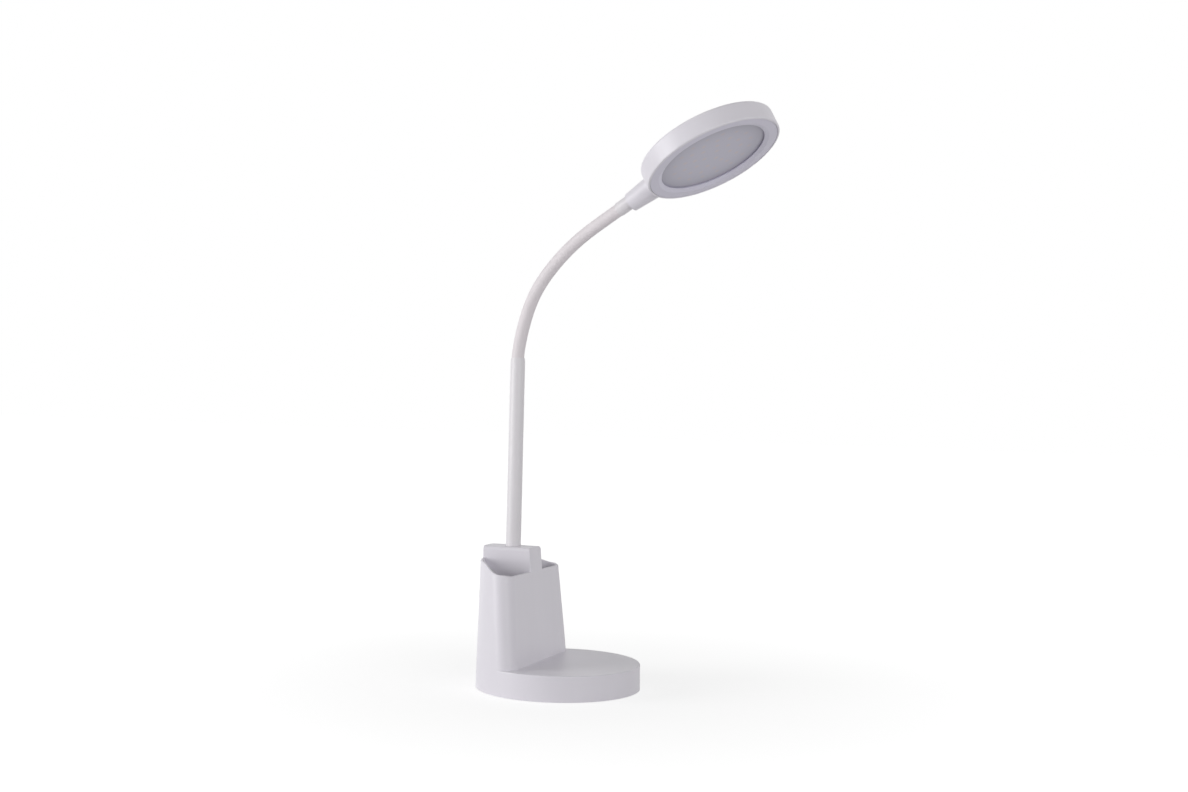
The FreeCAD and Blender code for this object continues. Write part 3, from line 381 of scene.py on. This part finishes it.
def make_camera():
    """The camera at the photograph's place, with its lens."""
    forward = Vector((math.cos(CAMERA_RISE) * math.cos(CAMERA_HEADING),
                      math.cos(CAMERA_RISE) * math.sin(CAMERA_HEADING), math.sin(CAMERA_RISE)))
    level = forward.cross(UP).normalized()
    right = Matrix.Rotation(CAMERA_ROLL, 3, forward) @ level
    data = bpy.data.cameras.new("photo_camera")
    data.sensor_width = SENSOR_WIDTH
    data.lens = FOCAL_PIXELS / IMAGE_WIDTH * SENSOR_WIDTH
    data.clip_start = CLIP_START
    camera = bpy.data.objects.new("photo_camera", data)
    camera.matrix_world = axes(right, right.cross(forward), -forward, CAMERA_PLACE)
    bpy.context.scene.collection.objects.link(camera)
    bpy.context.scene.camera = camera


def make_light(name, direction, distance, size, power):
    """A soft square light that looks at the middle of the lamp; its side is as the camera sees it."""
    leftward, nearer, upward = direction
    left = Vector((-math.sin(CAMERA_HEADING), math.cos(CAMERA_HEADING), 0))
    near = Vector((-math.cos(CAMERA_HEADING), -math.sin(CAMERA_HEADING), 0))
    towards = (left * leftward + near * nearer + UP * upward).normalized()
    data = bpy.data.lights.new(name, "AREA")
    data.shape = "SQUARE"
    data.size = size
    data.energy = power
    lamp = bpy.data.objects.new(name, data)
    middle = (cad_bounds[0] + cad_bounds[1]) / 2
    turn = towards.to_track_quat("Z", "Y").to_matrix().to_4x4()
    lamp.matrix_world = Matrix.Translation(middle + towards * distance) @ turn
    bpy.context.scene.collection.objects.link(lamp)


def seen_directly(tree):
    """1 for camera, glossy and transmitted rays, 0 for the rest."""
    path = add(tree, "ShaderNodeLightPath")
    seen = add(tree, "ShaderNodeMath", {"operation": "MAXIMUM"},
               {0: path.outputs["Is Camera Ray"], 1: path.outputs["Is Glossy Ray"]})
    return add(tree, "ShaderNodeMath", {"operation": "MAXIMUM"},
               {0: seen.outputs[0], 1: path.outputs["Is Transmission Ray"]}).outputs[0]


def make_world(strength):
    """White where it is seen, a softer light elsewhere."""
    world = bpy.data.worlds.new("studio")
    bpy.context.scene.world = world
    world.use_nodes = True
    tree = world.node_tree
    tree.nodes.clear()
    soft, white = (add(tree, "ShaderNodeBackground", values={"Color": linear(WHITE), "Strength": power})
                   for power in (strength, 1.0))
    both = add(tree, "ShaderNodeMixShader",
               links={0: seen_directly(tree), 1: soft.outputs[0], 2: white.outputs[0]})
    add(tree, "ShaderNodeOutputWorld", links={"Surface": both.outputs[0]})


def make_floor():
    """A plain pale floor that the camera sees as white, with the lamp's shadow on it."""
    corners = [(x * FLOOR_REACH, y * FLOOR_REACH, 0) for x, y in ((-1, -1), (1, -1), (1, 1), (-1, 1))]
    mesh = bpy.data.meshes.new("floor")
    mesh.from_pydata(corners, [], [(0, 1, 2, 3)])
    floor = bpy.data.objects.new("floor", mesh)
    bpy.context.scene.collection.objects.link(floor)
    made = bpy.data.materials.new("studio_paper")
    made.use_nodes = True
    tree = made.node_tree
    tree.nodes.clear()
    paper = add(tree, "ShaderNodeBsdfDiffuse", values={"Color": linear("#EDECEE")})
    shaded = add(tree, "ShaderNodeBsdfDiffuse", values={"Color": linear("#A0A0A0")})
    place = add(tree, "ShaderNodeTexCoord").outputs["Object"]
    distance = add(tree, "ShaderNodeVectorMath", {"operation": "LENGTH"}, {0: place})
    strength = add(tree, "ShaderNodeMapRange", links={"Value": distance.outputs["Value"]},
                   values={"From Min": GLOW_START, "From Max": GLOW_STOP,
                           "To Min": GLOW_NEAR, "To Max": GLOW_FAR})
    glow = add(tree, "ShaderNodeEmission", links={"Strength": strength.outputs["Result"]},
               values={"Color": linear(WHITE)})
    lit = add(tree, "ShaderNodeAddShader", links={0: shaded.outputs[0], 1: glow.outputs[0]})
    both = add(tree, "ShaderNodeMixShader",
               links={0: seen_directly(tree), 1: paper.outputs[0], 2: lit.outputs[0]})
    add(tree, "ShaderNodeOutputMaterial", links={"Surface": both.outputs[0]})
    mesh.materials.append(made)


def geometry_tree(name, inputs):
    """A geometry tree with named inputs; gives the tree, its input node and its output node."""
    tree = bpy.data.node_groups.new(name, "GeometryNodeTree")
    for label, kind in inputs:
        tree.interface.new_socket(label, in_out="INPUT", socket_type=kind)
    tree.interface.new_socket("Geometry", in_out="OUTPUT", socket_type="NodeSocketGeometry")
    return tree, add(tree, "NodeGroupInput"), add(tree, "NodeGroupOutput")


def finish_tree(tree, given, output, geometry):
    """End a tree: soft shading with crisp corners, Realize Instances and Set Material."""
    bend = add(tree, "GeometryNodeInputMeshEdgeAngle")
    sharp = add(tree, "FunctionNodeCompare", {"data_type": "FLOAT", "operation": "GREATER_THAN"},
                {0: bend.outputs["Unsigned Angle"]}, {1: SHARP_ANGLE})
    real = add(tree, "GeometryNodeRealizeInstances", links={"Geometry": geometry})
    soft = add(tree, "GeometryNodeSetShadeSmooth", {"domain": "EDGE"},
               {"Geometry": real.outputs["Geometry"], "Selection": sharp.outputs[0]},
               {"Shade Smooth": False})
    coat = add(tree, "GeometryNodeSetMaterial",
               links={"Geometry": soft.outputs["Geometry"], "Material": given.outputs["Material"]})
    tree.links.new(coat.outputs["Geometry"], output.inputs["Geometry"])


def make_turned_tree():
    """Turn a profile, drawn as points in the XZ plane, round the Z axis."""
    tree, given, output = geometry_tree("turned", [
        ("Profile", "NodeSocketGeometry"), ("Sides", "NodeSocketInt"),
        ("Material", "NodeSocketMaterial")])
    count = add(tree, "GeometryNodeAttributeDomainSize", links={"Geometry": given.outputs["Profile"]})
    columns = add(tree, "ShaderNodeMath", {"operation": "ADD"},
                  {0: given.outputs["Sides"]}, {1: 1.0})
    grid = add(tree, "GeometryNodeMeshGrid", links={
        "Vertices X": count.outputs["Point Count"], "Vertices Y": columns.outputs[0]})
    index = add(tree, "GeometryNodeInputIndex")
    share = add(tree, "ShaderNodeMath", {"operation": "DIVIDE"},
                {0: index.outputs[0], 1: columns.outputs[0]})
    row = add(tree, "ShaderNodeMath", {"operation": "FLOOR"}, {0: share.outputs[0]})
    column = add(tree, "ShaderNodeMath", {"operation": "MODULO"},
                 {0: index.outputs[0], 1: columns.outputs[0]})
    place = add(tree, "GeometryNodeInputPosition")
    point = add(tree, "GeometryNodeSampleIndex", {"data_type": "FLOAT_VECTOR", "domain": "POINT"},
                {"Geometry": given.outputs["Profile"], "Value": place.outputs[0],
                 "Index": row.outputs[0]})
    part = add(tree, "ShaderNodeMath", {"operation": "DIVIDE"},
               {0: column.outputs[0], 1: given.outputs["Sides"]})
    angle = add(tree, "ShaderNodeMath", {"operation": "MULTIPLY"},
                {0: part.outputs[0]}, {1: math.tau})
    turn = add(tree, "ShaderNodeVectorRotate", {"rotation_type": "Z_AXIS"},
               {"Vector": point.outputs["Value"], "Angle": angle.outputs[0]})
    placed = add(tree, "GeometryNodeSetPosition", links={
        "Geometry": grid.outputs["Mesh"], "Position": turn.outputs[0]})
    closed = add(tree, "GeometryNodeMergeByDistance",
                 links={"Geometry": placed.outputs["Geometry"]}, values={"Distance": MERGE_DISTANCE})
    finish_tree(tree, given, output, closed.outputs["Geometry"])
    return tree


def make_hose_tree():
    """A round hose along a path, closed at both ends."""
    tree, given, output = geometry_tree("hose", [
        ("Path", "NodeSocketGeometry"), ("Radius", "NodeSocketFloat"), ("Sides", "NodeSocketInt"),
        ("Material", "NodeSocketMaterial")])
    path = add(tree, "GeometryNodeMeshToCurve", links={"Mesh": given.outputs["Path"]})
    ring = add(tree, "GeometryNodeCurvePrimitiveCircle", links={
        "Resolution": given.outputs["Sides"], "Radius": given.outputs["Radius"]})
    tube = add(tree, "GeometryNodeCurveToMesh", links={
        "Curve": path.outputs["Curve"], "Profile Curve": ring.outputs["Curve"]},
        values={"Fill Caps": True})
    finish_tree(tree, given, output, tube.outputs["Mesh"])
    return tree


def make_blocks_tree():
    """A small block on each point; Radial 1 turns its length away from the Z axis."""
    tree, given, output = geometry_tree("blocks", [
        ("Points", "NodeSocketGeometry"), ("Size", "NodeSocketVector"),
        ("Radial", "NodeSocketFloat"), ("Material", "NodeSocketMaterial")])
    block = add(tree, "GeometryNodeMeshCube", links={"Size": given.outputs["Size"]})
    place = add(tree, "ShaderNodeSeparateXYZ",
                links={"Vector": add(tree, "GeometryNodeInputPosition").outputs[0]})
    angle = add(tree, "ShaderNodeMath", {"operation": "ARCTAN2"},
                {0: place.outputs["Y"], 1: place.outputs["X"]})
    turn = add(tree, "ShaderNodeMath", {"operation": "MULTIPLY"},
               {0: angle.outputs[0], 1: given.outputs["Radial"]})
    rotation = add(tree, "ShaderNodeCombineXYZ", links={"Z": turn.outputs[0]})
    blocks = add(tree, "GeometryNodeInstanceOnPoints", links={
        "Points": given.outputs["Points"], "Instance": block.outputs["Mesh"],
        "Rotation": rotation.outputs[0]})
    finish_tree(tree, given, output, blocks.outputs["Instances"])
    return tree


def piece(name, mesh):
    """A new object in the scene."""
    made = bpy.data.objects.new(name, mesh)
    bpy.context.scene.collection.objects.link(made)
    return made


def line_mesh(points):
    """A mesh of points joined in a row."""
    mesh = bpy.data.meshes.new("line")
    mesh.from_pydata(points, [(start, start + 1) for start in range(len(points) - 1)], [])
    return mesh


def point_mesh(points):
    """A mesh of loose points."""
    mesh = bpy.data.meshes.new("points")
    mesh.from_pydata(points, [], [])
    return mesh


def face_outwards(mesh):
    """Turn every face of a closed mesh outwards."""
    tidy = bmesh.new()
    tidy.from_mesh(mesh)
    bmesh.ops.recalc_face_normals(tidy, faces=tidy.faces)
    tidy.to_mesh(mesh)
    tidy.free()


def grow(name, source, tree, inputs, placement=None):
    """Run a tree on a mesh, keep what it makes as a plain mesh and put it in its place."""
    made = piece(name, source)
    modifier = made.modifiers.new("shape", "NODES")
    modifier.node_group = tree
    names = {item.name: item.identifier for item in tree.interface.items_tree
             if item.item_type == "SOCKET" and item.in_out == "INPUT"}
    for label, value in inputs.items():
        modifier[names[label]] = value
    graph = bpy.context.evaluated_depsgraph_get()
    mesh = bpy.data.meshes.new_from_object(made.evaluated_get(graph))
    made.modifiers.clear()
    made.data = mesh
    mesh.name = name
    if placement:
        mesh.transform(placement)
    face_outwards(mesh)
    return made


def belong(made, body, node, replaced=False):
    """Hang a piece on the body it rides on, and hide the CAD node it stands for when it replaces one."""
    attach(made, body)
    if replaced:
        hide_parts(node)


def rounded_block(name, low, high, edge, steps, surface):
    """A block between two corners, its edges rounded."""
    middle, span = (low + high) / 2, high - low
    shape = bmesh.new()
    bmesh.ops.create_cube(shape, size=1.0)
    bmesh.ops.scale(shape, vec=span, verts=shape.verts)
    bmesh.ops.translate(shape, vec=middle, verts=shape.verts)
    bmesh.ops.bevel(shape, geom=shape.edges[:], offset=edge, segments=steps, profile=0.5,
                    affect="EDGES")
    mesh = bpy.data.meshes.new(name)
    shape.to_mesh(mesh)
    shape.free()
    mesh.materials.append(surface)
    mesh.shade_smooth()
    return piece(name, mesh)


def bend_through(start, corner, end, steps):
    """Points of a smooth bend that leaves the start towards the corner and reaches the end."""
    shares = [step / steps for step in range(steps + 1)]
    return [start * (1 - share) ** 2 + corner * 2 * share * (1 - share) + end * share ** 2
            for share in shares]


def make_neck():
    """The silicone hose in stretches, each from the middle of one link to the next."""
    foot = Vector((PIVOTS[0].x, PIVOTS[0].y, SLEEVE_TOP))
    head_mouth = PIVOTS[-1] + NECK_END * FERRULE_START
    middles = [foot, *((a + b) / 2 for a, b in zip(PIVOTS, PIVOTS[1:])), head_mouth]
    last = len(PIVOTS) - 1
    for number, pivot in enumerate(PIVOTS):
        start, end = middles[number], middles[number + 1]
        points = bend_through(start, pivot, end, BEND_STEPS)
        replaced = [f"neck_link_{number:02d}"] if number else ["neck_root"]
        if number == 0:
            points.insert(0, foot - UP * PLUG_LENGTH)
        if number == last:
            points.append(PIVOTS[-1] + NECK_END * SPIGOT_START)
            replaced.append("neck_tip")
        hose = grow(f"neck_hose_{number + 1:02d}", line_mesh(points), hose_tree,
                    {"Radius": NECK_RADIUS, "Sides": ROUND_SIDES, "Material": finish["silicone"]})
        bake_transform(hose)
        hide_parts(*replaced)


def make_neck_spigot():
    """The threaded spigot that the head's nut grips, with a ring groove for each turn."""
    end = SPIGOT_START + SPIGOT_LENGTH
    profile = [(SPIGOT_BORE, 0, SPIGOT_START), (SPIGOT_RADIUS, 0, SPIGOT_START)]
    for turn in range(int(SPIGOT_LENGTH / THREAD_PITCH)):
        root = SPIGOT_START + THREAD_PITCH * (turn + 0.5)
        profile.append((SPIGOT_RADIUS - THREAD_DEPTH, 0, root))
        profile.append((SPIGOT_RADIUS, 0, root + THREAD_PITCH / 2))
    profile += [(SPIGOT_RADIUS, 0, end), (SPIGOT_BORE, 0, end), profile[0]]
    spigot = grow("neck_spigot", line_mesh(profile), turned_tree,
                  {"Sides": ROUND_SIDES, "Material": finish["zinc"]}, NECK_END_FRAME)
    belong(spigot, "head", "neck_tip")


def led_places(height):
    """The LEDs' places in the head's own frame, at a height."""
    places = []
    for ring, count in enumerate(LEDS_PER_RING):
        radius = LED_INNER_RING + LED_RING_PITCH * ring
        for number in range(count):
            angle = math.radians(LED_RING_STARTS[ring]) + math.tau * number / count
            places.append((radius * math.cos(angle), radius * math.sin(angle), height))
    return places


def make_leds():
    """White LED frames in rings on the board, each with its yellow window."""
    frames = grow("led_frames", point_mesh(led_places(LED_FACE + LED_HEIGHT / 2)), blocks_tree,
                  {"Size": (LED_LENGTH, LED_WIDTH, LED_HEIGHT), "Radial": 1.0,
                   "Material": finish["ppa"]}, HEAD_FRAME)
    belong(frames, "head", "led_chips", replaced=True)
    window = (LED_LENGTH - LED_FRAME_WALL * 2, LED_WIDTH - LED_FRAME_WALL * 2, LED_WINDOW_RISE * 2)
    windows = grow("led_windows", point_mesh(led_places(LED_FACE)), blocks_tree,
                   {"Size": window, "Radial": 1.0, "Material": finish["phosphor"]}, HEAD_FRAME)
    belong(windows, "head", "led_chips")


def make_socket_tongue():
    """The black tongue in the charging socket, with a row of contacts on each face."""
    low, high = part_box("usb_socket")
    level, back = (low.z + high.z) / 2, high.y - TONGUE_INSET
    half = Vector((TONGUE_WIDTH / 2, 0, TONGUE_THICKNESS / 2))
    tongue = rounded_block("socket_tongue", Vector((0, low.y + TONGUE_INSET, level)) - half,
                           Vector((0, back, level)) + half, TONGUE_EDGE, EDGE_STEPS,
                           finish["black"])
    belong(tongue, "base", "usb_socket")
    row = [CONTACT_PITCH * (number - (CONTACTS - 1) / 2) for number in range(CONTACTS)]
    places = [(x, back - TONGUE_EDGE - CONTACT_LENGTH / 2, level + side * TONGUE_THICKNESS / 2)
              for side in (-1, 1) for x in row]
    contacts = grow("socket_contacts", point_mesh(places), blocks_tree,
                    {"Size": (CONTACT_WIDTH, CONTACT_LENGTH, CONTACT_RISE * 2), "Radial": 0.0,
                     "Material": finish["gold"]})
    belong(contacts, "base", "usb_socket")


def make_pouch_cell():
    """The battery pack: a soft cornered pouch with tape over its sealed end."""
    low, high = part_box("battery_pack")
    rise = Vector((TAPE_RISE, TAPE_RISE, TAPE_RISE))
    pouch = rounded_block("pouch_cell", low + rise, high - rise, PACK_EDGE, PACK_EDGE_STEPS,
                          finish["laminate"])
    belong(pouch, "base", "battery_pack", replaced=True)
    end = Vector((low.x + TAPE_WIDTH, high.y, high.z))
    tape = rounded_block("pouch_tape", low, end, PACK_EDGE, PACK_EDGE_STEPS, finish["tape"])
    belong(tape, "base", "battery_pack")


def on_board(share_x, share_y, height):
    """A place on the control board's upper face, half a height above it."""
    low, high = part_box("control_board")
    return (low.x + (high.x - low.x) * share_x, low.y + (high.y - low.y) * share_y,
            high.z + height / 2)


def make_board_parts():
    """Two black chips and two rows of small capacitors on the control board."""
    for name, sizes in CHIP_SIZES.items():
        span = Vector(sizes) * MM
        middle = Vector(on_board(*CHIP_SHARES[name], span.z))
        chip = rounded_block(name, middle - span / 2, middle + span / 2, span.z * CHIP_EDGE_SHARE,
                             EDGE_STEPS, finish["black"])
        belong(chip, "base", "control_board")
    span = Vector(CAPACITOR_SIZE) * MM
    first, last = CAPACITOR_SPAN_SHARES
    step = (last - first) / (CAPACITOR_COLUMNS - 1)
    places = [on_board(first + step * column, row, span.z)
              for row in CAPACITOR_ROW_SHARES for column in range(CAPACITOR_COLUMNS)]
    capacitors = grow("board_capacitors", point_mesh(places), blocks_tree,
                      {"Size": tuple(span), "Radial": 0.0, "Material": finish["ceramic"]})
    belong(capacitors, "base", "control_board")


turned_tree = make_turned_tree()
hose_tree = make_hose_tree()
blocks_tree = make_blocks_tree()
make_neck()
make_neck_spigot()
make_leds()
make_socket_tongue()
make_pouch_cell()
make_board_parts()
make_camera()
make_world(WORLD_STRENGTH)
make_light("key_light", *KEY_LIGHT)
make_light("fill_light", *FILL_LIGHT)
make_floor()
bpy.context.scene.view_settings.view_transform = "Standard"
